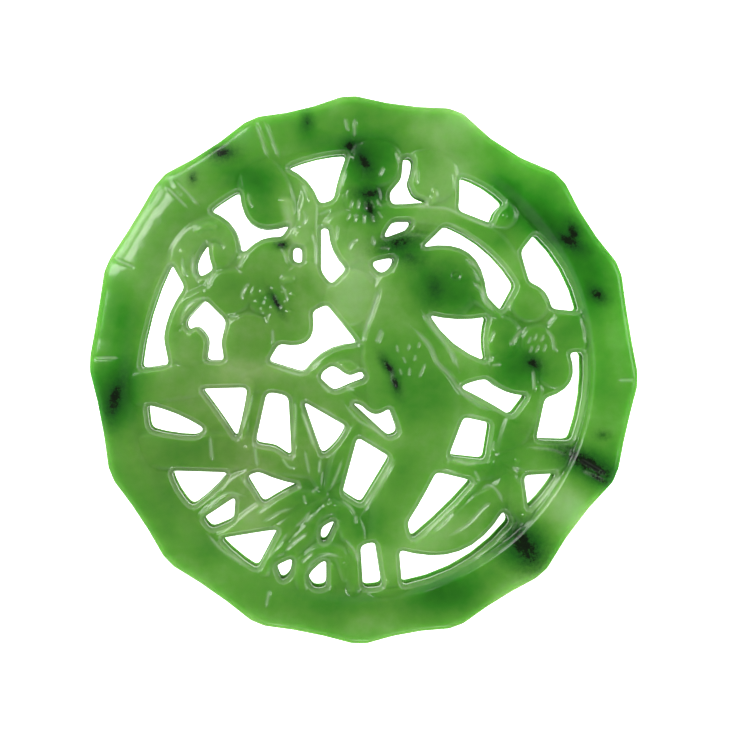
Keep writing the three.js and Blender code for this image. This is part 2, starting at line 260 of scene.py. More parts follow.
def hollow(x, y, radius, depth):
    """A soft dish pressed into what is there."""
    centre = place([x, y])
    part, cells = window(centre[None], radius * UNIT)
    share = np.clip(np.hypot(*np.moveaxis(cells - centre, -1, 0)) / (radius * UNIT), 0, 1)
    height[part] -= depth * (1 - share**2) ** 2


# %% [markdown]
# The rim is a bamboo culm bent into a ring. Its crown is softly domed, each length between two
# nodes is scooped a little lower than the nodes, and the inner side slopes down to the sunk field.
# That slope is crisp at the lower right and worn soft at the upper left, where years of handling
# have also rubbed the outer side down. Angle and distance from the middle say all of it, so the rim
# is worked out for the whole map in one go instead of being swept like the limbs inside it.

# %% The bamboo rim
FIELD_RADII = 22.2, 21.6  # mm, half width and half height of the sunk field
FIELD_SLOPE = 0.4  # mm, the width of the slope down to it where it is crisp
SOFT_SLOPE = 2.2  # mm, and where it is worn
CRISP_TOWARDS = -22  # degrees, the side where it is crisp
NODE_ANGLES = [
    -1.7, 22, 44.7, 70.6, 93.2, 114, 136.5, 157.2, 178.1, 202, 224, 247, 269, 290, 311.4, 337.7,
]
CROWN = 0.42  # where the crown runs between the field and the outer edge, as a share
CROWN_DROP = 0.2  # mm, how much lower the culm is at its sides
SCOOP = 0.08  # mm, how much lower it is between nodes
SCOOP_FROM = 5  # degrees from a node, where the scoop has its full depth
FOOT_GROOVE = 0.16  # mm, the depth of the line cut along the crisp slope's foot
CRISP_FADE = 0.7  # how fast crisp turns to worn: one would be a plain cosine, less is later
WEAR = 0.5  # mm, how much the outer side has lost where a thumb has rubbed it
WORN_TOWARDS = 146.8  # degrees, the middle of the rubbed length of culm
WORN_HALF = 9.6  # degrees, and half its length
WORN_ENDS = 8  # how suddenly the rubbing ends at either node: two would fade like a bell
WORN_FROM = 25.1  # mm from the middle of the piece, where the rubbed side begins
WORN_WIDTH = 1.9  # mm
WORN_MOST = 1.2  # how far out the rubbed side goes on falling, as a share of its width


def turned_from(bearing, towards):
    """The turn from one bearing to another in degrees, from -180 to 180."""
    return (bearing - towards + 180) % 360 - 180


from_middle = np.hypot(across, upward)
bearing = np.degrees(np.arctan2(upward, across))
field_edge = FIELD_RADII[0] * FIELD_RADII[1] / np.hypot(
    FIELD_RADII[1] * np.cos(np.radians(bearing)), FIELD_RADII[0] * np.sin(np.radians(bearing))
)
past_field = from_middle - field_edge
from_crown = (past_field / (high_corner.x / MM - field_edge) - CROWN) / (1 - CROWN)
from_node = np.min([np.abs(turned_from(bearing, node)) for node in NODE_ANGLES], axis=0)
scoop = SCOOP * np.clip(from_node / SCOOP_FROM, 0, 1) ** 2
outward = np.clip((from_middle - WORN_FROM) / WORN_WIDTH, 0, WORN_MOST)
worn = np.exp(-((turned_from(bearing, WORN_TOWARDS) / WORN_HALF) ** WORN_ENDS)) * outward**2
rim = TOP - CROWN_DROP * from_crown**2 - scoop - WEAR * worn
crisp = np.clip(np.cos(np.radians(bearing - CRISP_TOWARDS)), 0, 1) ** CRISP_FADE
print(f"the rim is {high_corner.x / MM - FIELD_RADII[0]:.1f} mm wide")


def lay_rim():
    """The rim with its slope and the groove at its foot, over whatever reaches under it."""
    slope = np.clip(past_field / (FIELD_SLOPE + SOFT_SLOPE * (1 - crisp)), 0, 1)
    height[:] = np.maximum(height, GROUND + (rim - GROUND) * slope**2 * (3 - 2 * slope))
    share = np.clip(np.abs(past_field) / GROOVE_REACH, 0, 1)
    height[:] -= FOOT_GROOVE * crisp * (1 - share**2) ** 2


# %% [markdown]
# The picture inside the rim. Branches are round, leaves are thin and pointed, petals are flat
# cushions with a lip, and the bird stands highest. Widths and places are given one by one, and every
# station is a place on the pattern followed by half the form's width there.

# %% Branches and the bamboo culm
BRANCH_TOP = 4.22  # mm, like every top below
CULM_TOP = 4.25
BRANCHES = [
    [
        [140, 386, 19], [190, 378, 19], [235, 373, 18], [285, 380, 16], [325, 395, 17], [365, 420, 17],
        [395, 442, 15],
    ],
    [[366, 212, 10], [410, 212, 11], [445, 216, 12], [485, 238, 16], [512, 268, 14], [526, 296, 11]],
    [[310, 192, 10], [306, 222, 12], [309, 250, 11], [307, 280, 10]],
    [[505, 475, 14], [512, 440, 15], [522, 415, 16], [532, 388, 13]],
    [[436, 463, 9], [475, 470, 11], [508, 462, 13]],
    [[248, 384, 8], [244, 412, 7], [240, 440, 8]],
]
for stations in BRANCHES:
    limb(stations, BRANCH_TOP)
limb([[142, 449, 19], [212, 449, 20], [258, 453, 19], [308, 462, 16]], CULM_TOP)
print(f"{len(BRANCHES)} branches and a culm, {height.max() - GROUND:.2f} mm over the ground")

# %% Tendrils and bamboo leaves
SCROLL_TOP = 4.27
LEAF_TOP = 4.22
TENDRILS = [
    [[176, 272, 10], [181, 250, 13], [196, 233, 13], [217, 228, 13], [231, 242, 11], [222, 260, 10]],
    [[174, 348, 14], [171, 325, 12], [184, 306, 11], [206, 292, 9]],
    [[262, 570, 8], [270, 552, 8], [290, 547, 8], [303, 562, 7]],
    [[303, 596, 7], [300, 568, 8], [316, 550, 8], [338, 552, 9], [350, 572, 12]],
    [[309, 522, 8], [324, 508, 9], [345, 510, 9], [347, 534, 9]],
]
LEAVES = [
    [[322, 494, 3], [310, 455, 13], [301, 420, 11], [297, 388, 4]],
    [[322, 494, 3], [340, 460, 13], [350, 436, 10], [362, 412, 2]],
    [[326, 492, 3], [290, 501, 14], [255, 517, 14], [218, 534, 3]],
    [[326, 494, 3], [296, 517, 11], [272, 541, 11], [256, 570, 3]],
    [[320, 508, 3], [306, 532, 11], [293, 548, 9], [284, 562, 2]],
    [[250, 466, 3], [236, 483, 12], [222, 500, 11], [200, 514, 3]],
    [[500, 460, 4], [530, 457, 16], [558, 457, 14], [592, 466, 4]],
    [[498, 463, 4], [514, 492, 15], [524, 512, 12], [530, 535, 3]],
    [[506, 478, 5], [484, 511, 23], [450, 536, 21], [398, 548, 4]],
    [[482, 474, 4], [455, 497, 11], [431, 521, 8], [402, 544, 2]],
    [[332, 502, 6], [348, 522, 14], [357, 548, 11], [352, 596, 8]],
]
for stations in TENDRILS:
    limb(stations, SCROLL_TOP)
for stations in LEAVES:
    limb(stations, LEAF_TOP, crown=0.12)
print(f"{len(TENDRILS)} tendrils and {len(LEAVES)} leaves")

# %% Blossoms and buds
PETAL_TOP = 4.3
BUD_TOP = 4.3
WEB_TOP = 4.25  # the plain stone between a blossom and the rim
LIP = 0.04  # mm, how far a petal is dished inside its lip
DISH_OUT = 0.85  # where along the petal the dish lies, as a share
DISH_SIZE = 0.75  # and its size, as a share of the petal's
HEART = 20  # the radius of a blossom's heart
HEART_DISH = 24, 0.1  # the radius of the hollow in it, and its depth in mm
BLOSSOMS = [  # the heart, then each petal's direction in degrees, its distance and its radius
    ((266, 295), [(94, 31, 28), (174, 38, 25), (247, 48, 29), (312, 36, 27), (15, 38, 26)]),
    ((538, 342), [(101, 42, 21), (18, 32, 24), (306, 31, 22), (228, 37, 28), (170, 38, 22)]),
    ((362, 196), [(70, 38, 27), (130, 30, 19), (248, 44, 28), (284, 42, 27)]),
]
BUDS = [
    (190, 344, 23), (430, 174, 29), (502, 213, 16), (214, 254, 13), (350, 296, 29),
    (346, 372, 15), (302, 236, 12),
]
HANGING_BUD = [[256, 168, 22], [264, 188, 27], [268, 203, 28]]
WEB = [[346, 134, 16], [356, 150, 14], [370, 165, 14]]
limb(HANGING_BUD, BUD_TOP, crown=0.12, groove=0.03)
limb(WEB, WEB_TOP, crown=0.05, groove=0, shoulder=1.0)
for (x, y), petals in BLOSSOMS:
    for degrees, reach, size in petals:
        turn = math.radians(degrees)
        dome(x + reach * math.cos(turn), y - reach * math.sin(turn), size, PETAL_TOP)
    for degrees, reach, size in petals:
        turn = math.radians(degrees)
        out = DISH_OUT * reach
        hollow(x + out * math.cos(turn), y - out * math.sin(turn), DISH_SIZE * size, LIP)
    dome(x, y, HEART, PETAL_TOP, groove=0)
    hollow(x, y, *HEART_DISH)
for x, y, size in BUDS:
    dome(x, y, size, BUD_TOP, crown=0.12, groove=0.03)
print(f"{len(BLOSSOMS)} blossoms and {len(BUDS) + 1} buds")

# %% The bird, which grows out of the trunk without a border
BIRD_TOP = 4.38
BODY_TOP = 4.32
TRUNK = [  # the bird's back, then the trunk below it
    [419, 254, 18], [402, 285, 27], [396, 318, 34], [400, 350, 40], [411, 386, 46], [416, 424, 44],
    [414, 460, 38], [404, 500, 34], [393, 545, 28], [386, 612, 23],
]
CREST = [[366, 247, 6], [392, 244, 13], [428, 248, 15]]
WING = [[416, 298, 9], [440, 328, 16], [462, 360, 20], [488, 390, 16], [516, 414, 7]]
BEAK = [[460, 280, 16], [482, 296, 10], [500, 316, 5]]
HEAD = 441, 281, 40
NAPE = TRUNK[:4]  # laid again with a narrow shoulder, which fills it out
limb(CREST, BODY_TOP, groove=0)
limb(WING, BODY_TOP)
limb(BEAK, BODY_TOP, groove=0)
limb(TRUNK, BODY_TOP, crown=0.15, groove=0, shoulder=1.4)
limb(NAPE, BODY_TOP, crown=0.1, groove=0, shoulder=0.45)
dome(*HEAD, BIRD_TOP, crown=0.15, groove=0, shoulder=1.2)
lay_rim()
print(f"the rim's highest place is at {height.max():.2f} mm")

# %% [markdown]
# Fine strokes come last, as they do at the bench: a small wheel cuts the veins, the feathers, the
# pairs of rings at the bamboo's nodes and the flowers' stamens. Felt doesn't reach the bottom of such
# a cut, so it stays frosted and pale. Each stroke therefore also leaves its mark on a second map,
# which the material reads. A ribbon or a dot is a stroke or a hollow turned over, so that it stands up.

# %% Strokes of the small wheel
RINGS = [
    [[255, 122], [269, 159]], [[264, 121], [280, 159]], [[166, 185], [190, 209]],
    [[175, 179], [201, 206]], [[114, 257], [137, 267]], [[94, 356], [121, 356]],
    [[577, 457], [609, 476]], [[581, 469], [608, 482]], [[618, 379], [636, 379]],
    [[344, 118], [348, 132]], [[354, 118], [354, 138]], [[269, 587], [265, 606]],
    [[210, 433], [212, 460]], [[254, 440], [257, 466]],
]
VEINS = [
    [[492, 501], [484, 506], [471, 520], [462, 527], [445, 537]], [[456, 506], [441, 523], [432, 531]],
    [[396, 456], [385, 474], [374, 493], [358, 519]], [[294, 506], [278, 511], [270, 516], [261, 520]],
    [[276, 497], [265, 505], [255, 512]], [[288, 530], [278, 544], [267, 558]],
    [[308, 530], [294, 540], [283, 551]], [[313, 550], [299, 562]], [[310, 509], [303, 519], [294, 526]],
    [[342, 457], [336, 474], [330, 488]], [[303, 493], [305, 503]], [[318, 485], [311, 491]],
    [[294, 400], [295, 412], [293, 447]], [[300, 408], [307, 425], [315, 450]],
    [[304, 448], [309, 474]], [[320, 457], [319, 473]], [[280, 454], [288, 465], [296, 466]],
    [[313, 403], [330, 412], [343, 424], [347, 433]], [[341, 399], [357, 418], [372, 427], [388, 439]],
    [[360, 435], [374, 443], [386, 451]], [[253, 390], [248, 411], [240, 430]],
    [[270, 364], [285, 369], [300, 373], [311, 367], [326, 354]], [[320, 382], [330, 392]],
    [[344, 388], [354, 388]], [[238, 473], [249, 485], [258, 498]], [[292, 490], [278, 492], [266, 499]],
    [[205, 510], [214, 499], [228, 491], [246, 495]], [[206, 531], [225, 551], [256, 570]],
    [[306, 572], [312, 561], [326, 554], [342, 556]], [[356, 514], [355, 523]],
    [[344, 538], [354, 550], [358, 562]], [[340, 498], [350, 506], [355, 514]],
    [[480, 490], [487, 485], [493, 486], [500, 494], [503, 503]], [[474, 469], [480, 481]],
    [[526, 446], [554, 449], [568, 455]], [[494, 439], [492, 451]], [[512, 466], [520, 471]],
    [[524, 477], [526, 492]], [[440, 469], [452, 471], [464, 477]], [[466, 413], [488, 419]],
    [[446, 455], [458, 460], [470, 463], [482, 459]], [[464, 484], [478, 482]],
    [[513, 531], [517, 521]], [[500, 542], [507, 534]],
]
EDGES = [
    [[248, 192], [249, 200], [252, 207]], [[300, 181], [305, 192], [308, 203]], [[318, 214], [331, 208]],
    [[302, 208], [305, 217], [302, 224]], [[183, 255], [184, 266], [188, 277]],
    [[194, 252], [193, 267], [200, 285]], [[208, 287], [212, 275], [214, 266]],
    [[220, 217], [236, 231], [240, 247], [240, 258]], [[238, 268], [242, 259], [248, 252]],
    [[280, 246], [285, 254], [288, 264]], [[242, 300], [242, 292], [246, 285], [250, 282]],
    [[280, 283], [285, 291], [287, 300]], [[228, 315], [238, 315]], [[225, 333], [226, 318]],
    [[272, 327], [273, 344]], [[181, 325], [185, 308], [196, 298], [212, 297]],
    [[196, 325], [204, 330], [208, 337], [209, 347]], [[312, 230], [316, 247], [316, 267]],
    [[395, 151], [400, 164]], [[383, 166], [378, 176]], [[346, 168], [341, 182], [337, 196]],
    [[337, 223], [335, 240]], [[372, 234], [372, 245]], [[358, 237], [351, 242], [348, 249]],
    [[416, 167], [416, 184]], [[452, 172], [456, 188]],
    [[391, 203], [427, 206], [445, 207], [459, 213], [485, 224], [510, 227]],
    [[446, 221], [463, 230], [487, 250], [513, 275]], [[379, 247], [389, 247]],
    [[368, 269], [377, 279]], [[511, 297], [509, 310]], [[540, 288], [549, 303]],
    [[580, 317], [585, 329], [585, 341]], [[546, 323], [555, 315]],
    [[544, 325], [552, 336], [554, 345], [558, 352]], [[533, 367], [535, 391]],
    [[488, 342], [494, 329]], [[491, 364], [501, 363]], [[274, 292], [276, 300], [281, 308]],
    [[381, 359], [391, 369], [392, 378], [396, 388]],
]
PLUMAGE = [
    [[380, 282], [373, 305], [365, 327], [362, 343]], [[381, 327], [376, 342]],
    [
        [408, 323], [419, 333], [430, 346], [437, 361], [449, 374], [459, 388], [468, 396], [485, 407],
        [500, 411],
    ],
    [[420, 308], [428, 321], [443, 340], [452, 353], [459, 371]],
    [[472, 280], [481, 289], [485, 300], [495, 312]], [[465, 258], [477, 267], [483, 279]],
    [[510, 345], [515, 337], [524, 326]],
]
TICKS = [
    [[396, 343], [397, 351]], [[409, 342], [407, 349]], [[419, 340], [417, 347]], [[402, 355], [405, 362]],
    [[415, 353], [413, 360]], [[409, 366], [408, 375]], [[425, 361], [418, 377]], [[399, 367], [401, 374]],
    [[352, 199], [349, 208]], [[358, 198], [357, 209]], [[364, 200], [365, 210]], [[370, 199], [374, 208]],
    [[376, 198], [381, 206]], [[350, 212], [346, 220]], [[356, 212], [354, 222]], [[363, 213], [363, 223]],
    [[370, 212], [373, 222]], [[377, 210], [382, 218]], [[531, 335], [527, 343]], [[537, 332], [533, 340]],
    [[544, 333], [540, 341]], [[532, 344], [529, 352]], [[539, 343], [535, 352]], [[546, 342], [543, 351]],
]
CUTS = [(RINGS, 3.8, 0.18), (VEINS + EDGES, 3.8, 0.15), (PLUMAGE, 5.4, 0.24), (TICKS, 3.2, 0.12)]
for lines, width, depth in CUTS:
    for line in lines:
        stroke(line, width, depth)
print(sum(len(lines) for lines, width, depth in CUTS), "strokes of the wheel")

# %% Curled ribbons, stamens' heads, pits and the eye
RIBBON = 9, -0.2  # width in units and depth in mm, which is below nought for what stands up
DOT = 3.4, -0.14  # radius in units and depth in mm
EYE = 455, 274
SOCKET = 6.5, 0.22
EYEBALL = 3, -0.24
RIBBONS = [
    [[275, 200], [288, 201], [293, 210], [292, 219], [284, 229]],
    [[196, 235], [201, 228], [209, 225], [219, 228]],
    [[281, 282], [285, 278], [290, 278], [295, 275]],
    [[431, 186], [434, 193], [432, 199], [425, 202], [414, 202]],
]
DOTS = [
    (253, 293), (257, 301), (262, 291), (267, 298), (265, 303), (262, 309), (273, 288), (272, 307),
    (288, 311), (292, 294), (284, 291), (183, 251), (191, 334), (194, 330), (504, 215),
    (247, 446), (242, 437), (206, 428), (336, 505), (332, 565), (345, 563), (331, 587), (353, 588),
    (387, 581), (292, 578), (266, 573), (446, 461), (491, 461), (517, 460), (524, 515),
]
PITS = 60  # on the rubbed length of the rim
PIT_ALONG = 11  # degrees to either side of its middle
PIT_REACH = 263  # units from the middle of the piece
PIT_ACROSS = 9  # units further out or in
PIT_SIZE = 4  # units
PIT_SIZES = 2.5  # units larger or smaller
PIT_DEPTH = 0.02  # mm
PIT_STEPS = 2.4, 1.7, 3.1  # radians from pit to pit, along, across and in size: they never repeat
PIT_WANDER = 0.3  # radians

for line in RIBBONS:
    stroke(line, *RIBBON)
for i in range(PITS):
    along, sideways, size = (step * i for step in PIT_STEPS)
    turn = math.radians(WORN_TOWARDS + PIT_ALONG * math.sin(along + PIT_WANDER * math.sin(i)))
    reach = PIT_REACH + PIT_ACROSS * math.sin(sideways)
    pit = GRID_MIDDLE + reach * np.array([math.cos(turn), -math.sin(turn)])
    hollow(*pit, PIT_SIZE + PIT_SIZES * math.sin(size), PIT_DEPTH)
for x, y in DOTS:
    hollow(x, y, *DOT)
hollow(*EYE, *SOCKET)
hollow(*EYE, *EYEBALL)
print(f"{len(RIBBONS)} ribbons, {len(DOTS)} dots and {PITS} pits")

# %% [markdown]
# Polishing with felt and fine grit rounds every crease a little. On the map that is a soft blur,
# made with a Fourier transform because it treats the whole map in one go.

# %% Polish
POLISH = 0.085  # mm


def blurred(field, reach):
    """The map with everything finer than about reach smoothed away."""
    turns = np.fft.fftfreq(len(axis)) * 2 * math.pi * reach / CELL
    pass_through = np.exp(-0.5 * turns**2)
    return np.fft.ifft2(np.fft.fft2(field) * pass_through * pass_through[:, None]).real


height = blurred(height, POLISH)
print(f"relief from {height.min():.2f} to {height.max():.2f} mm")


def read(field, points):
    """A map read between its cells."""
    u, v = ((points + REACH) / CELL).T
    i = np.clip(u.astype(int), 0, len(axis) - 2)
    j = np.clip(v.astype(int), 0, len(axis) - 2)
    u, v = u - i, v - j
    near = field[j, i] * (1 - u) + field[j, i + 1] * u
    far = field[j + 1, i] * (1 - u) + field[j + 1, i + 1] * u
    return near * (1 - v) + far * v


# %% [markdown]
# Now the mesh. Points are thick where the relief bends sharply and thin where it is calm, so fine
# strokes stay crisp and the whole piece stays light. The carver grinds a narrow bevel round each
# piercing and rounds the rim's outer edge, so rows of points follow the outlines there: those edges
# carry the brightest lines of light.

# %% Where the stone is, and how far the nearest edge is
def tree_of(points):
    """The points in an order that makes the nearest one quick to find."""
    tree = KDTree(len(points))
    for i, (x, y) in enumerate(points):
        tree.insert((x, y, 0), i)
    tree.balance()
    return tree


rim_tree = tree_of(rim_fine)
piercing_tree = tree_of(np.vstack(piercings_fine))


def distances(points, tree):
    """How far each point is from the nearest one in the tree."""
    return np.array([tree.find((x, y, 0))[2] for x, y in points])


def inside(points):
    """Whether each point is on stone, by counting the outlines that a line to its right crosses."""
    starts = np.vstack(outlines)
    ends = np.vstack([np.roll(outline, -1, axis=0) for outline in outlines])
    crossings = np.zeros(len(points), int)
    order = np.argsort(points[:, 1])
    levels = points[order, 1]
    for (ax, ay), (bx, by) in zip(starts, ends):
        if ay == by:
            continue
        first, last = np.searchsorted(levels, sorted((ay, by)))
        which = order[first:last]
        cut = ax + (points[which, 1] - ay) * (bx - ax) / (by - ay)
        crossings[which[cut > points[which, 0]]] += 1
    return crossings % 2 == 1


def on_stone(points):
    """The points that lie on stone."""
    points = points[np.hypot(*points.T) < REACH]
    return points[inside(points)]


def facing(outline, way):
    """The outline, turned round unless it runs the given way: 1 is anticlockwise, -1 clockwise."""
    return outline if signed_area(outline) * way > 0 else outline[::-1]


loops = [facing(outlines[0], 1), *[facing(outline, -1) for outline in outlines[1:]]]
print(f"{len(loops)} outlines, with the stone on the left of each")

# %% Points of the front
BEVEL = 0.42  # mm, the width of the bevel ground round a piercing
BEVEL_SLOPE = 1.0  # how steeply it falls
EDGE_ROUND = 0.12  # mm, its softened lower edge
RIM_ROUND = 0.6  # mm, the rounded outer edge of the rim
BACK_ROUND = 0.3  # mm
EDGE_ROWS = (0.04, 0.12, 0.35, 0.42, 0.49)  # mm from a piercing
RIM_ROWS = (0.045, 0.12, 0.24, 0.4, 0.6)  # mm from the outer edge
ROW_LEFT = 0.93  # a row stops where another outline is nearer than this share of its distance
ROW_GAP = 0.06  # mm, the least between two points of the rows, and between rows and field
CALM = 0.3  # mm between points where the relief is calm
LIVELY = 0.13  # mm where it bends
BEND = 0.9  # per mm, the bend of the surface from which points are set closely
BEND_BLUR = 0.12  # mm, how far round a bend the points stay close


def honeycomb(spacing):
    """Points all over the map, each with six neighbours."""
    rows = np.arange(-REACH, REACH, spacing * math.sqrt(0.75))
    columns = np.arange(-REACH, REACH, spacing)
    x, y = np.meshgrid(columns, rows)
    x[1::2] += spacing / 2
    return np.stack([x.ravel(), y.ravel()], 1)


def inward_rows(outline, offsets):
    """Rows of points beside an outline, on the stone's side."""
    along = np.roll(outline, -1, axis=0) - np.roll(outline, 1, axis=0)
    normal = np.stack([-along[:, 1], along[:, 0]], 1) / np.hypot(*along.T)[:, None]
    kept = []
    for offset in offsets:
        row = outline + normal * offset
        true = np.minimum(distances(row, rim_tree), distances(row, piercing_tree))
        kept.append(row[true > ROW_LEFT * offset])
    return np.vstack(kept)


def all_rows(rim_offsets, piercing_offsets):
    """The rows beside the rim's outline and beside every piercing's."""
    rows = [inward_rows(loops[0], rim_offsets)]
    rows += [inward_rows(loop, piercing_offsets) for loop in loops[1:]]
    return np.vstack(rows)


def spread(points, spacing):
    """The points without those that stand closer together than spacing: the first ones stay."""
    taken = {}
    kept = []
    for i, (u, v) in enumerate((points / spacing).round().astype(int).tolist()):
        if (u, v) not in taken:
            taken[u, v] = i
            kept.append(i)
    return points[kept]


def lively(points):
    """Whether the relief bends sharply at each point."""
    u, v = ((points + REACH) / CELL).round().astype(int).T
    return bend[np.clip(v, 0, len(axis) - 1), np.clip(u, 0, len(axis) - 1)] > BEND


bends = [np.hypot(*np.gradient(steepness, CELL)) for steepness in np.gradient(height, CELL)]
bend = blurred(bends[0] + bends[1], BEND_BLUR)
close_set = honeycomb(LIVELY)
close_set = close_set[lively(close_set)]
wide_set = honeycomb(CALM)
wide_set = wide_set[~lively(wide_set)]
scattered = on_stone(np.vstack([close_set, wide_set]))
clear = distances(scattered, piercing_tree) > EDGE_ROWS[-1] + ROW_GAP
clear &= distances(scattered, rim_tree) > RIM_ROWS[-1] + ROW_GAP
front_inner = np.vstack([spread(all_rows(RIM_ROWS, EDGE_ROWS), ROW_GAP), scattered[clear]])
print(f"{len(front_inner)} points on the front")


# %% Skin over a set of outlines and points
SAME = 1e-6  # mm, below which two points would count as one


def skin(loops, inner):
    """Triangles over the stone. The points come back as the loops' first, then the inner ones."""
    points = np.vstack([*loops, inner])
    edges = []
    start = 0
    for loop in loops:
        edges += [(start + i, start + (i + 1) % len(loop)) for i in range(len(loop))]
        start += len(loop)
    result = delaunay_2d_cdt([Vector(p) for p in points], edges, [], 0, SAME)
    made, faces = result[0], np.array(result[2])
    if len(made) != len(points):
        print("the skin has", len(made), "points instead of", len(points))
    made = np.array(made)
    on_edge = (faces < start).all(1)
    middles = made[faces[on_edge]].mean(1)
    keep = np.ones(len(faces), bool)
    keep[np.flatnonzero(on_edge)[~inside(middles)]] = False
    return made, faces[keep]


front_points, front_faces = skin(loops, front_inner)
print(f"{len(front_faces)} triangles on the front")

# %% The back, plain and flat
BACK_ROWS = (0.08, 0.3)  # mm from a piercing
BACK_ROW_GAP = 0.1  # mm between two points of the rows
BACK_SPACING = 1.1  # mm between the other points
BACK_CLEAR = 0.6  # mm that they keep from a piercing
BACK_RIM_CLEAR = 0.5  # mm more that they keep from the outer edge
back_field = on_stone(honeycomb(BACK_SPACING))
from_rim = distances(back_field, rim_tree) - BACK_RIM_CLEAR
clear = np.minimum(distances(back_field, piercing_tree), from_rim) > BACK_CLEAR
back_inner = np.vstack([spread(all_rows(RIM_ROWS, BACK_ROWS), BACK_ROW_GAP), back_field[clear]])
back_points, back_faces = skin(loops, back_inner)
print(f"{len(back_faces)} triangles on the back")


# %% Levels, walls and the closed mesh
def rounded(distance, size):
    """How far a rounded edge has dropped at a distance from it."""
    in_from = size - np.minimum(distance, size)
    return size - np.sqrt(size**2 - in_from**2)


def bevelled(distance):
    """How far a piercing's edge has dropped at a distance from it."""
    return BEVEL_SLOPE * np.maximum(BEVEL - distance, 0) + rounded(distance, EDGE_ROUND)


BEVEL_GLOW_FADE = 0.12  # mm, over which the painted glow on the bevel fades at its inner side
RIM_PAINTED_SHADE = 0.8  # how strongly painted shade darkens the rim's very edge, where one is as dark as the painted shade on the back's outlines
RIM_PAINTED_SHADE_WIDTH = 0.45  # mm
WALL_SHARES = (0.12, 0.5, 0.85)  # how far down the walls their rings of points stand
WALL_PAINTED_SHADES = (-0.3, -0.4, -0.6, -1)  # painted shade on those rings and on the back's outlines: darker further down
edge_count = sum(map(len, loops))
rim_count = len(loops[0])


def edge_distances(points):
    """Distances to the rim and to the piercings, exactly nought on the outlines themselves."""
    to_rim = distances(points, rim_tree)
    to_piercing = distances(points, piercing_tree)
    to_rim[:rim_count] = 0
    to_piercing[rim_count:edge_count] = 0
    return to_rim, to_piercing


to_rim, to_piercing = edge_distances(front_points)
front_level = read(height, front_points) - rounded(to_rim, RIM_ROUND) - bevelled(to_piercing)
# a painted glow on the bevel round each piercing, and painted shade at the rim's outer edge
pale = np.clip((EDGE_ROWS[-1] - to_piercing) / BEVEL_GLOW_FADE, 0, 1)
pale -= RIM_PAINTED_SHADE * np.clip(1 - to_rim / RIM_PAINTED_SHADE_WIDTH, 0, 1)
to_rim, to_piercing = edge_distances(back_points)
back_level = rounded(to_rim, RIM_ROUND) + rounded(to_piercing, BACK_ROUND)

front = np.column_stack([front_points, front_level])
back = np.column_stack([back_points, back_level])
rings = [front[:edge_count] * (1 - share) + back[:edge_count] * share for share in WALL_SHARES]
positions = np.vstack([front, back, *rings])
back_start = len(front)
first_ring = len(front) + len(back)
wall_starts = [first_ring + i * edge_count for i in range(len(rings))]
ring_starts = [0, *wall_starts, back_start]
faces = [front_faces, back_faces[:, ::-1] + back_start]
start = 0
for loop in loops:
    here = start + np.arange(len(loop))
    following = start + np.roll(np.arange(len(loop)), -1)
    for upper, lower in zip(ring_starts, ring_starts[1:]):
        faces.append(np.column_stack([here + upper, here + lower, following + lower]))
        faces.append(np.column_stack([here + upper, following + lower, following + upper]))
    start += len(loop)
faces = np.vstack(faces)
print(f"{len(positions)} points and {len(faces)} triangles in the closed mesh")

SCENE = bpy.context.scene
mesh = bpy.data.meshes.new("jade_roundel")
mesh.from_pydata((positions * MM).tolist(), [], faces.tolist())
mesh.validate()
mesh.shade_smooth()
roundel = bpy.data.objects.new("jade_roundel", mesh)
SCENE.collection.objects.link(roundel)
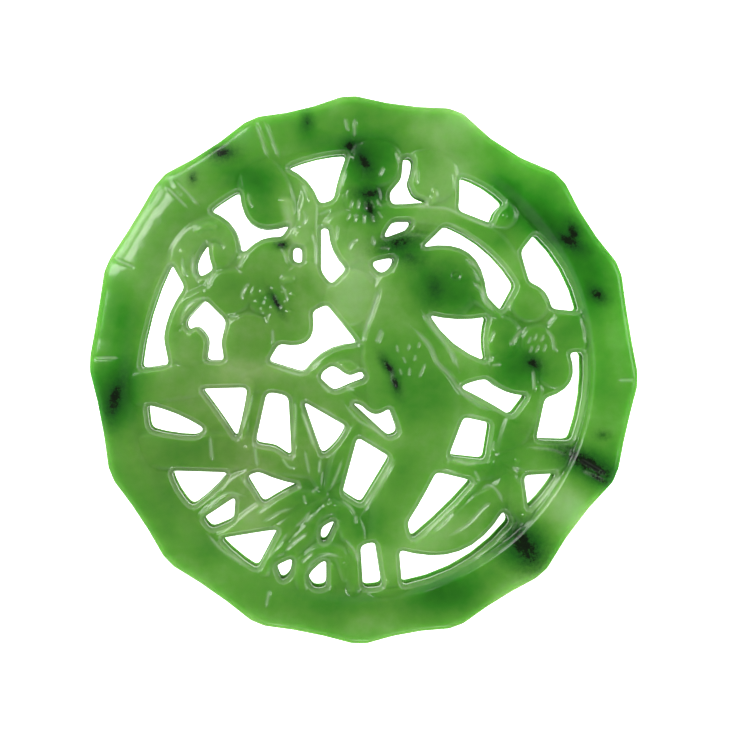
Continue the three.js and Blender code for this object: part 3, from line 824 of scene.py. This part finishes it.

# %% [markdown]
# Nephrite is a felt of fine fibres, so its colour comes in clouds: deep green where there is more
# iron, pale where there is less, and small black grains. It also leans to olive in places and to a
# purer green in others. All of this is laid out as soft ovals and stored on the mesh, one value for
# each point, and noise in the material frays their edges. Three of the pale ovals are painted light:
# a painted highlight on the rubbed upper left of the rim, and a painted glow along the rim's right
# edge and on the hanging bud's curled rim. Two more values are stored: painted light and shade along
# the edges, which is a glow on the bevels and shade at the rim's outer edge and down the walls, and
# the frosted cuts of the wheel.

# %% Clouds and grains on the stone
CLOUDS = [  # x, y, half width, half height, turn in degrees, strength: below nought is deeper
    (250, 178, 30, 18, -10, -0.9), (266, 210, 18, 24, 0, -0.45), (306, 128, 11, 18, 0, -0.6),
    (362, 150, 37, 25, 0, -1.05), (368, 196, 16, 24, 0, -0.55), (360, 220, 28, 22, 0, -0.25),
    (400, 247, 26, 13, 8, -0.8), (436, 286, 36, 26, -35, -0.9), (470, 292, 22, 22, 0, -0.2),
    (542, 220, 58, 20, -38, -1.0), (592, 290, 22, 34, 15, -0.9), (601, 382, 16, 22, 0, -0.5),
    (592, 466, 40, 22, -10, -1.0), (525, 545, 28, 26, 0, -1.0), (444, 592, 38, 22, 8, -1.0),
    (350, 600, 60, 15, 0, -0.55), (518, 364, 32, 26, 0, -1.0), (510, 328, 26, 24, 0, -0.35),
    (570, 330, 22, 18, 0, -0.35), (392, 372, 16, 32, 15, -0.5), (434, 386, 26, 26, 0, -0.45),
    (114, 392, 28, 36, 0, -1.1), (122, 325, 14, 40, 0, -0.5), (266, 302, 24, 26, 0, -0.4),
    (190, 374, 28, 16, 0, -0.2), (190, 445, 32, 20, 0, -0.25), (305, 505, 26, 40, 10, -0.25),
    (368, 520, 22, 20, 0, -0.55), (330, 474, 18, 18, 0, -0.35), (402, 468, 16, 22, 0, -0.35),
    (504, 440, 18, 34, 0, -0.35), (490, 472, 26, 16, 0, -0.3), (207, 550, 14, 22, 0, -0.3),
    (500, 242, 12, 12, 0, -0.3), (420, 408, 24, 16, 0, -0.35), (470, 500, 16, 14, 40, -0.2),
    (430, 130, 34, 18, -10, 0.4), (462, 112, 26, 18, -20, 0.5), (438, 188, 28, 32, 0, 0.5),
    (320, 215, 30, 26, 0, 0.4), (222, 238, 30, 22, -20, 0.35), (188, 290, 20, 44, 0, 0.35),
    (352, 282, 26, 44, 0, 0.6), (280, 366, 80, 12, 0, 0.3), (506, 268, 20, 22, 0, 0.3),
    # (614, 345) is no cloud: it is a painted glow along the rim's right edge
    (545, 308, 20, 14, 0, 0.15), (614, 345, 12, 36, 0, 0.3), (560, 402, 18, 22, 0, 0.2),
    (440, 532, 42, 14, 30, 0.4), (270, 622, 40, 14, 0, 0.4), (240, 522, 34, 14, 20, 0.35),
    # (130, 215) is no cloud: it is a painted highlight on the rubbed upper left of the rim
    (512, 590, 40, 16, 35, 0.5), (130, 215, 30, 50, -40, 0.45), (300, 250, 20, 24, 0, 0.35),
    (470, 345, 24, 24, 0, 0.3), (150, 260, 30, 30, 0, 0.1), (562, 508, 28, 36, 40, 0.5),
    (270, 325, 30, 14, 0, 0.2), (240, 268, 30, 16, 0, 0.2), (340, 135, 10, 30, 0, 0.2),
    (400, 540, 20, 24, 0, 0.15), (470, 170, 24, 16, 0, 0.3), (390, 430, 20, 20, 0, 0.1),
    (505, 185, 30, 16, -35, -0.4), (604, 352, 18, 22, 0, -0.2), (545, 578, 26, 14, 35, 0.3),
    (240, 376, 40, 14, 0, 0.25), (322, 396, 34, 13, -25, 0.3), (304, 312, 16, 24, 0, 0.3),
    # (287, 212) is no cloud: it is a painted glow on the hanging bud's thin curled rim
    (255, 528, 30, 26, 0, 0.15), (287, 212, 6, 14, 10, 0.8), (578, 505, 22, 34, 40, 0.3),
]
GRAINS = [  # x, y, half width, half height, turn in degrees, and strength where it isn't one
    (223, 153, 13, 7, 0, 0.9), (194, 178, 4, 6, 0, 0.7), (307, 122, 5, 9, 0, 0.6), (350, 146, 8, 6, 0),
    (364, 162, 6, 13, 30), (370, 193, 14, 6, 0), (369, 207, 5, 12, 20), (398, 241, 24, 10, 12, 0.75),
    (408, 256, 16, 10, -20, 0.5), (434, 287, 10, 16, 0, 0.55), (388, 366, 4, 12, 35),
    (395, 382, 4, 10, 20), (276, 301, 3, 12, 30), (282, 244, 6, 4, 0), (572, 232, 7, 12, 20),
    (568, 240, 16, 7, -30), (555, 237, 14, 8, 0, 0.5), (597, 293, 9, 6, -40), (588, 463, 38, 10, -30),
    (600, 478, 20, 6, -28, 0.8), (524, 545, 27, 15, -58), (508, 548, 16, 16, 0, 0.45),
    (603, 434, 8, 5, 0, 0.5), (533, 362, 9, 6, -40), (116, 397, 8, 22, -15),
]
WARM = [  # the same, where the green leans to olive, or below nought to a purer green
    (230, 440, 130, 90, 0, 1.2), (260, 300, 80, 60, 0, 0.6), (440, 290, 40, 30, 0, 0.4),
    (380, 600, 110, 25, 0, 0.4), (610, 330, 32, 120, 0, -0.9), (530, 190, 75, 38, -38, -1.1),
    (120, 330, 26, 80, 0, -0.6), (250, 150, 50, 30, 20, -0.3),
]
CLOUD_EDGE = 1.0  # how fast an oval fades: one is a soft bell, less is steeper at its middle
GRAIN_EDGE = 0.6


def strengths(spots, fade):
    """For each soft oval, how strongly it is felt at each point of the mesh."""
    for x, y, wide, tall, degrees, *strength in spots:
        turn = math.radians(degrees)
        away = (positions[:, :2] - place([x, y])) / UNIT
        u = away[:, 0] * math.cos(turn) + away[:, 1] * math.sin(turn)
        v = away[:, 1] * math.cos(turn) - away[:, 0] * math.sin(turn)
        full = strength[0] if strength else 1
        yield full * np.exp(-((u / wide) ** 2 + (v / tall) ** 2) ** fade)


cloud_tone = sum(strengths(CLOUDS, CLOUD_EDGE))
grain_depth = np.max(list(strengths(GRAINS, GRAIN_EDGE)), axis=0)
warmth = sum(strengths(WARM, CLOUD_EDGE))
painted_edge_light_shade = np.zeros(len(positions))
painted_edge_light_shade[: len(pale)] = pale
# painted shade down the walls and on the back's outlines
for ring_start, shade in zip(ring_starts[1:], WALL_PAINTED_SHADES):
    painted_edge_light_shade[ring_start : ring_start + edge_count] = shade
frosted = np.zeros(len(positions))
frosted[: len(front)] = read(frost, front_points)
for name, values in (
    ("cloud", cloud_tone), ("warmth", warmth), ("grain", grain_depth), ("edge", painted_edge_light_shade),
    ("frost", frosted),
):
    attribute = mesh.attributes.new(name, "FLOAT", "POINT")
    attribute.data.foreach_set("value", values.astype(np.float32))
    print(f"{name} runs from {values.min():.2f} to {values.max():.2f}")


# %% [markdown]
# Colours are written as the eye reads them, in sRGB hex, and one function turns them to the linear
# values that the renderer adds up.

# %% Helpers for materials
def linear(hex_colour):
    """An sRGB colour such as #1b6812 as the linear values of a shader's socket."""
    channels = [int(hex_colour[i : i + 2], 16) / 255 for i in (1, 3, 5)]
    return [c / 12.92 if c <= 0.04045 else ((c + 0.055) / 1.055) ** 2.4 for c in channels] + [1]


def add(tree, kind, inputs=None, links=None, **settings):
    """A node with its settings, its plain values and what feeds it."""
    node = tree.nodes.new(kind)
    for name, value in settings.items():
        setattr(node, name, value)
    for name, value in (inputs or {}).items():
        node.inputs[name].default_value = value
    for name, source in (links or {}).items():
        tree.links.new(source, node.inputs[name])
    return node


print("mid grey in linear values:", [round(value, 3) for value in linear("#808080")])


# %% [markdown]
# Polished nephrite: index 1.61, a hard gloss, and light that wanders a few millimetres inside before
# it comes out again. Green wanders furthest, so thin places glow green when light comes from below.
# A plain Principled shader with its subsurface does that, and a bump of a fiftieth of a millimetre
# gives the ripple of hand polishing. On top of the green come a painted glow on the bevels, painted
# shade at the rim's outer edge and down the walls, which also have no gloss, the frosted cuts and
# last the black grains with their halo.

# %% Polished nephrite
NEPHRITE_IOR = 1.61
CLOUD_SIZE = 7.0  # mm
FELT_SIZE = 1.1  # mm, wisps of fibre, drawn coarser than life so that they show
GRIT_SIZE = 0.35  # mm, the frayed edge of a black grain
RIPPLE_SIZE = 1.6  # mm, what hand polishing leaves
RIPPLE_DEPTH = 0.02  # mm
CLOUD_SHARE, FELT_SHARE, LAID_SHARE = 0.55, 0.16, 0.42  # of the noises and of the laid clouds
MIDDLE_TONE = 0.27  # what the noises start from
GREENS = [  # from the deepest place to the palest, as a share of the tone
    (0.08, "#1b6812"), (0.34, "#3d9426"), (0.62, "#6cb044"), (0.8, "#8cc266"), (1.0, "#a8d48c"),
]
# painted glow for the bevels, painted shade for the walls and the rim's outer edge
BEVEL_GLOW_GREEN, BEVEL_GLOW_SHARE = "#a9cc98", 0.33
EDGE_SHADE_GREEN, EDGE_SHADE_SHARE = "#3b5540", -0.75  # below nought, because the painted shade's value is too
FROST_GREEN, FROST_SHARE = "#bfdcae", 0.65
HALO_GREEN, HALO_FROM, HALO_TO, HALO_SHARE = "#1b5420", 0.03, 0.25, 0.75
GRAIN_BLACK, GRAIN_FROM, GRAIN_TO = "#142410", 0.27, 0.36
OLIVE = (0.13, -0.13, 0.15)  # how much of red, green and blue full warmth adds, as a share
MATT_AT, POLISHED_GLOSS = -0.3, 0.5  # the wall's value without gloss, and the gloss elsewhere
WANDER = 3.2  # mm that light travels inside
WANDER_BY_COLOUR = (0.7, 1.0, 0.45)

jade = bpy.data.materials.new("polished_nephrite")
jade.use_nodes = True
tree = jade.node_tree
tree.nodes.clear()
where = add(tree, "ShaderNodeTexCoord").outputs["Object"]


def noise(size, detail, roughness=0.5, distortion=0.0):
    """Noise with lumps of about a size in millimetres."""
    scale = 1 / (size * MM)
    values = {"Scale": scale, "Detail": detail, "Roughness": roughness, "Distortion": distortion}
    return add(tree, "ShaderNodeTexNoise", values, {"Vector": where}).outputs["Fac"]


def stored(name):
    """A value that is stored on the mesh."""
    return add(tree, "ShaderNodeAttribute", attribute_name=name).outputs["Fac"]


def times(value, factor, plus=None, start=0.0):
    """A value times a number, plus another value or else a number to start from."""
    inputs = {1: factor, 2: start}
    links = {0: value} if plus is None else {0: value, 2: plus}
    return add(tree, "ShaderNodeMath", inputs, links, operation="MULTIPLY_ADD").outputs[0]


def between(value, low, high, result_low, result_high):
    """A value's range turned into another range, and held inside it."""
    limits = {"From Min": low, "From Max": high, "To Min": result_low, "To Max": result_high}
    return add(tree, "ShaderNodeMapRange", limits, {"Value": value}).outputs[0]


def painted(below, paint, share):
    """Another colour laid over what is below, as far as the share says."""
    links = {"Factor": share, "A": below}
    mix = add(tree, "ShaderNodeMix", {"B": linear(paint)}, links, data_type="RGBA")
    return mix.outputs["Result"]


# the clouds of green
tone = times(noise(CLOUD_SIZE, 3, 0.55, 0.4), CLOUD_SHARE, start=MIDDLE_TONE)
tone = times(noise(FELT_SIZE, 3, 0.6), FELT_SHARE, plus=tone)
tone = times(stored("cloud"), LAID_SHARE, plus=tone)
greens = add(tree, "ShaderNodeValToRGB", None, {"Fac": tone})
for position, green in GREENS[1:-1]:
    greens.color_ramp.elements.new(position)
for element, (position, green) in zip(greens.color_ramp.elements, GREENS):
    element.position = position
    element.color = linear(green)

# painted light and shade along the edges: a glow on the bevels, shade at the rim's edge and down the walls
edge_light_and_shade = stored("edge")
colour = painted(greens.outputs["Color"], BEVEL_GLOW_GREEN, times(edge_light_and_shade, BEVEL_GLOW_SHARE))
colour = painted(colour, EDGE_SHADE_GREEN, times(edge_light_and_shade, EDGE_SHADE_SHARE))
lean = add(
    tree,
    "ShaderNodeVectorMath",
    {1: OLIVE, 2: (1, 1, 1)},
    {0: stored("warmth")},
    operation="MULTIPLY_ADD",
)
leaning = {0: colour, 1: lean.outputs[0]}
colour = add(tree, "ShaderNodeVectorMath", None, leaning, operation="MULTIPLY").outputs[0]
colour = painted(colour, FROST_GREEN, times(stored("frost"), FROST_SHARE))

# black grains with their halo
both = {0: stored("grain"), 1: noise(GRIT_SIZE, 4, 0.8)}
frayed = add(tree, "ShaderNodeMath", None, both, operation="MULTIPLY").outputs[0]
colour = painted(colour, HALO_GREEN, between(frayed, HALO_FROM, HALO_TO, 0, HALO_SHARE))
colour = painted(colour, GRAIN_BLACK, between(frayed, GRAIN_FROM, GRAIN_TO, 0, 1))

ripple = {"Strength": 0.35, "Distance": RIPPLE_DEPTH * MM}
bump = add(tree, "ShaderNodeBump", ripple, {"Height": noise(RIPPLE_SIZE, 2)})
stone = add(
    tree,
    "ShaderNodeBsdfPrincipled",
    {
        "Roughness": 0.17, "IOR": NEPHRITE_IOR, "Subsurface Weight": 1.0,
        "Subsurface Scale": WANDER * MM, "Subsurface Radius": WANDER_BY_COLOUR,
    },
    {
        "Base Color": colour, "Normal": bump.outputs["Normal"],
        "Specular IOR Level": between(edge_light_and_shade, MATT_AT, 0, 0, POLISHED_GLOSS),
    },
)
add(tree, "ShaderNodeOutputMaterial", None, {"Surface": stone.outputs[0]})
mesh.materials.append(jade)

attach(roundel, "root")
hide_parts(NODE)
print("nodes in the stone's material:", len(tree.nodes))

# %% [markdown]
# Jade is shown on a light table, because light from below wakes the colour. The floor is therefore
# a pale sheet of opal plastic that glows evenly, and a plane with an even emission is enough for it.
# The glow reaches the eye through the piercings as plain white.

# %% The light table
FLOOR_GAP = 0.05  # mm under the piece
TABLE_HALF = 0.9  # m
TABLE_GLOW = 1.7

floor_mesh = bpy.data.meshes.new("light_table")
quarters = [(-1, -1), (1, -1), (1, 1), (-1, 1)]
corners = [(x * TABLE_HALF, y * TABLE_HALF, -FLOOR_GAP * MM) for x, y in quarters]
floor_mesh.from_pydata(corners, [], [(0, 1, 2, 3)])
table = bpy.data.objects.new("light_table", floor_mesh)
SCENE.collection.objects.link(table)
opal = bpy.data.materials.new("opal_sheet")
opal.use_nodes = True
sheet = opal.node_tree.nodes["Principled BSDF"]
sheet.inputs["Base Color"].default_value = linear("#f4f4f2")
sheet.inputs["Roughness"].default_value = 0.9
sheet.inputs["Specular IOR Level"].default_value = 0.0
sheet.inputs["Emission Color"].default_value = linear("#ffffff")
sheet.inputs["Emission Strength"].default_value = TABLE_GLOW
floor_mesh.materials.append(opal)
print(f"a sheet {2 * TABLE_HALF} m wide, glowing at {TABLE_GLOW}")

# %% [markdown]
# Gloss only shows where something bright is mirrored in it. Four windows stand low round the piece,
# so that carved edges mirror them. The air is a bright tent with a dark opening overhead: steep
# sides mirror the tent, and level parts mirror the opening and so show the colour of the stone.

# %% Studio light
TENT = 0.86  # how bright the tent is
OPENING = 0.05  # and its opening
OPENING_FROM, OPENING_TO = 0.45, 0.93  # how high it begins and is fully dark: one is overhead


def softbox(name, position, size, watts):
    """A rectangle of soft light at a place in metres, facing the piece."""
    light = bpy.data.lights.new(name, "AREA")
    light.shape = "RECTANGLE"
    light.size, light.size_y = size
    light.energy = watts
    lamp = bpy.data.objects.new(name, light)
    lamp.location = position
    lamp.rotation_euler = (-Vector(position)).to_track_quat("-Z", "Y").to_euler()
    SCENE.collection.objects.link(lamp)


softbox("window_left", (-0.20, 0.145, 0.42), (0.18, 0.18), 0.62)
softbox("window_right", (0.36, 0.05, 0.26), (0.22, 0.22), 0.4)
softbox("window_front", (0.02, -0.42, 0.22), (0.14, 0.10), 0.25)
softbox("window_low", (-0.34, 0.235, 0.22), (0.24, 0.20), 0.6)

world = bpy.data.worlds.new("studio_air")
SCENE.world = world
world.use_nodes = True
air = world.node_tree
air.nodes.clear()
direction = add(air, "ShaderNodeTexCoord").outputs["Generated"]
split = add(air, "ShaderNodeSeparateXYZ", None, {0: direction})
rise = add(
    air,
    "ShaderNodeMapRange",
    {"From Min": OPENING_FROM, "From Max": OPENING_TO, "To Min": TENT, "To Max": OPENING},
    {"Value": split.outputs["Z"]},
)
sky = add(air, "ShaderNodeBackground", None, {"Strength": rise.outputs[0]})
add(air, "ShaderNodeOutputWorld", None, {"Surface": sky.outputs[0]})

# %% [markdown]
# The camera looks almost straight down, three degrees off to the upper left, so that the walls of
# the piercings show along their right and lower sides. The piece stands a little left of the middle.

# %% Camera
CAMERA_HEIGHT = 204.0  # mm above the table
CAMERA_SIDE = -7.0  # mm to the piece's right
CAMERA_UP = 7.0  # mm towards its top
AIM = (0.97, -0.38, 4.0)  # mm
VIEW_WIDTH = 74.04  # mm that the picture takes in at the aim

camera = bpy.data.cameras.new("camera")
camera.sensor_width = 36
eye = Vector((CAMERA_SIDE, CAMERA_UP, CAMERA_HEIGHT)) * MM
aim = Vector(AIM) * MM
camera.lens = camera.sensor_width * (eye - aim).length / (VIEW_WIDTH * MM)
camera.clip_start = 0.01
viewer = bpy.data.objects.new("camera", camera)
back = (eye - aim).normalized()
right = Vector((0, 1, 0)).cross(back).normalized()
turned = Matrix((right, back.cross(right), back)).transposed()
viewer.location = eye
viewer.rotation_euler = turned.to_euler()
SCENE.collection.objects.link(viewer)
SCENE.camera = viewer
SCENE.view_settings.view_transform = "Standard"
print(f"a lens of {camera.lens:.1f} mm from {(eye - aim).length / MM:.0f} mm away")
